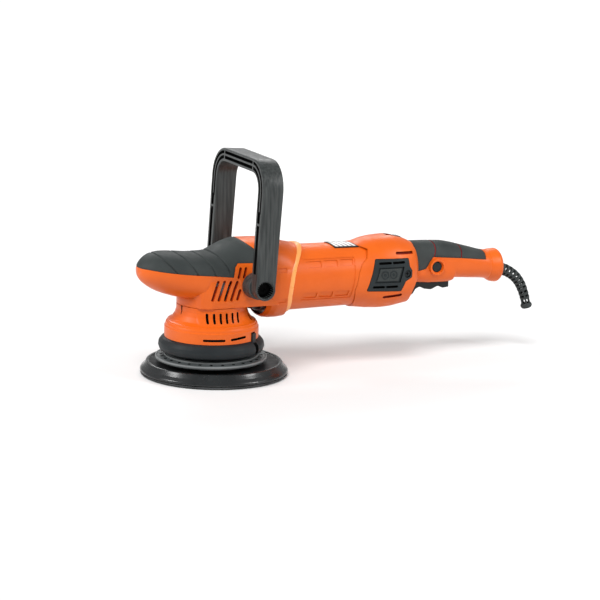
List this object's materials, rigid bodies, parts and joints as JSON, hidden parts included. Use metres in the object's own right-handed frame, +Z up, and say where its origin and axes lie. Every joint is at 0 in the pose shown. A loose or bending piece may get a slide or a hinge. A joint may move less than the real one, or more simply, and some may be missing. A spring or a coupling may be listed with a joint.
{
  "type": "rotary polisher",
  "caption": "Mains orbital polisher: orbiting backing plate under a bevel-gear head, barrel motor, trigger handle behind and a tilting bail handle over the head.",
  "frame": {"origin": "where the spindle axis meets the plane of the pad's working face", "axes": "+X along the tool from nose to tail, -Y to the operator's left, +Z up along the spindle axis, away from the work"},
  "size_m": [0.4967, 0.1668, 0.25],
  "materials": {
    "orange_shell": "satin moulded plastic",
    "black_plastic": "satin moulded plastic",
    "grey_cover": "fine matt texture",
    "overmould": "soft matt overmould",
    "pad_rubber": "smooth glossy polyurethane",
    "hook_fibre": "dense hook fibre",
    "steel": "turned",
    "cast_aluminium": "as cast",
    "copper": "bare copper and brass, satin",
    "carbon": "pressed carbon",
    "label": "printed film"
  },
  "bodies": {
    "housing": {"head_cover": "orange_shell", "head_skirt": "orange_shell", "motor_housing": "orange_shell", "handle_shell_left": "orange_shell", "handle_shell_right": "orange_shell", "palm_grip": "overmould", "handle_grip": "overmould", "cord_guard": "overmould", "shroud_ring": "overmould", "gear_case": "cast_aluminium", "bearing_plate": "cast_aluminium", "case_screw_1": "steel", "case_screw_2": "steel", "case_screw_3": "steel", "case_screw_4": "steel", "stator": "steel", "front_bearing": "steel", "rear_bearing": "steel", "upper_spindle_bearing": "steel", "lower_spindle_bearing": "steel", "handle_screw_1": "steel", "handle_screw_2": "steel", "handle_screw_3": "steel", "brush_cover_screw_left": "steel", "brush_cover_screw_right": "steel", "bail_bolt_left": "steel", "bail_bolt_right": "steel", "label_plate": "label", "field_coil_upper": "copper", "field_coil_lower": "copper", "brush_holder_left": "copper", "brush_holder_right": "copper", "air_baffle": "black_plastic", "switch_body": "black_plastic", "dial_potentiometer": "black_plastic", "cord_clamp": "black_plastic", "bail_hub_left": "black_plastic", "bail_hub_right": "black_plastic", "speed_control": "grey_cover", "brush_cover_left": "grey_cover", "brush_cover_right": "grey_cover", "carbon_brush_left": "carbon", "carbon_brush_right": "carbon"},
    "armature": {"armature_shaft": "steel", "armature_core": "steel", "commutator": "copper", "cooling_fan": "black_plastic"},
    "spindle": {"output_spindle": "steel", "crown_gear": "steel", "counterweight": "steel", "orbit_bearing": "steel", "vent_disc": "black_plastic"},
    "pad": {"pad_spindle": "steel", "backing_plate": "pad_rubber", "hook_face": "hook_fibre", "plate_bolt": "steel"},
    "bail": {"bail_handle": "black_plastic"},
    "trigger": {"trigger": "black_plastic"},
    "lock_button": {"lock_button": "black_plastic"},
    "speed_dial": {"speed_dial": "black_plastic"}
  },
  "joints": [
    {"name": "armature_spin", "type": "hinge", "parent": "housing", "child": "armature", "pos_m": [0.02, 0, 0.1065], "axis": [1, 0, 0], "continuous": true},
    {"name": "spindle_spin", "type": "hinge", "parent": "housing", "child": "spindle", "pos_m": [0, 0, 0.09], "axis": [0, 0, 1], "continuous": true},
    {"name": "pad_spin", "type": "hinge", "parent": "spindle", "child": "pad", "pos_m": [0.00703, 0.0078, 0.02], "axis": [0, 0, 1], "continuous": true},
    {"name": "bail_tilt", "type": "hinge", "parent": "housing", "child": "bail", "pos_m": [0.0334, 0, 0.1084], "axis": [0, 1, 0], "range_deg": [-55, 50]},
    {"name": "trigger_pull", "type": "hinge", "parent": "housing", "child": "trigger", "pos_m": [0.25, 0, 0.0954], "axis": [0, -1, 0], "range_deg": [0, 6], "stiffness_Nm_per_rad": 1, "springref_deg": -2.86},
    {"name": "lock_push", "type": "slide", "parent": "housing", "child": "lock_button", "axis": [0, 1, 0], "range_m": [0, 0.0023], "stiffness_N_per_m": 300, "springref_m": -0.001},
    {"name": "dial_turn", "type": "hinge", "parent": "housing", "child": "speed_dial", "pos_m": [0.2245, 0, 0.1343], "axis": [0, 1, 0], "range_deg": [0, 270]}
  ],
  "couplings": [
    {"joint": "spindle_spin", "follows": "armature_spin", "ratio": 0.25}
  ]
}
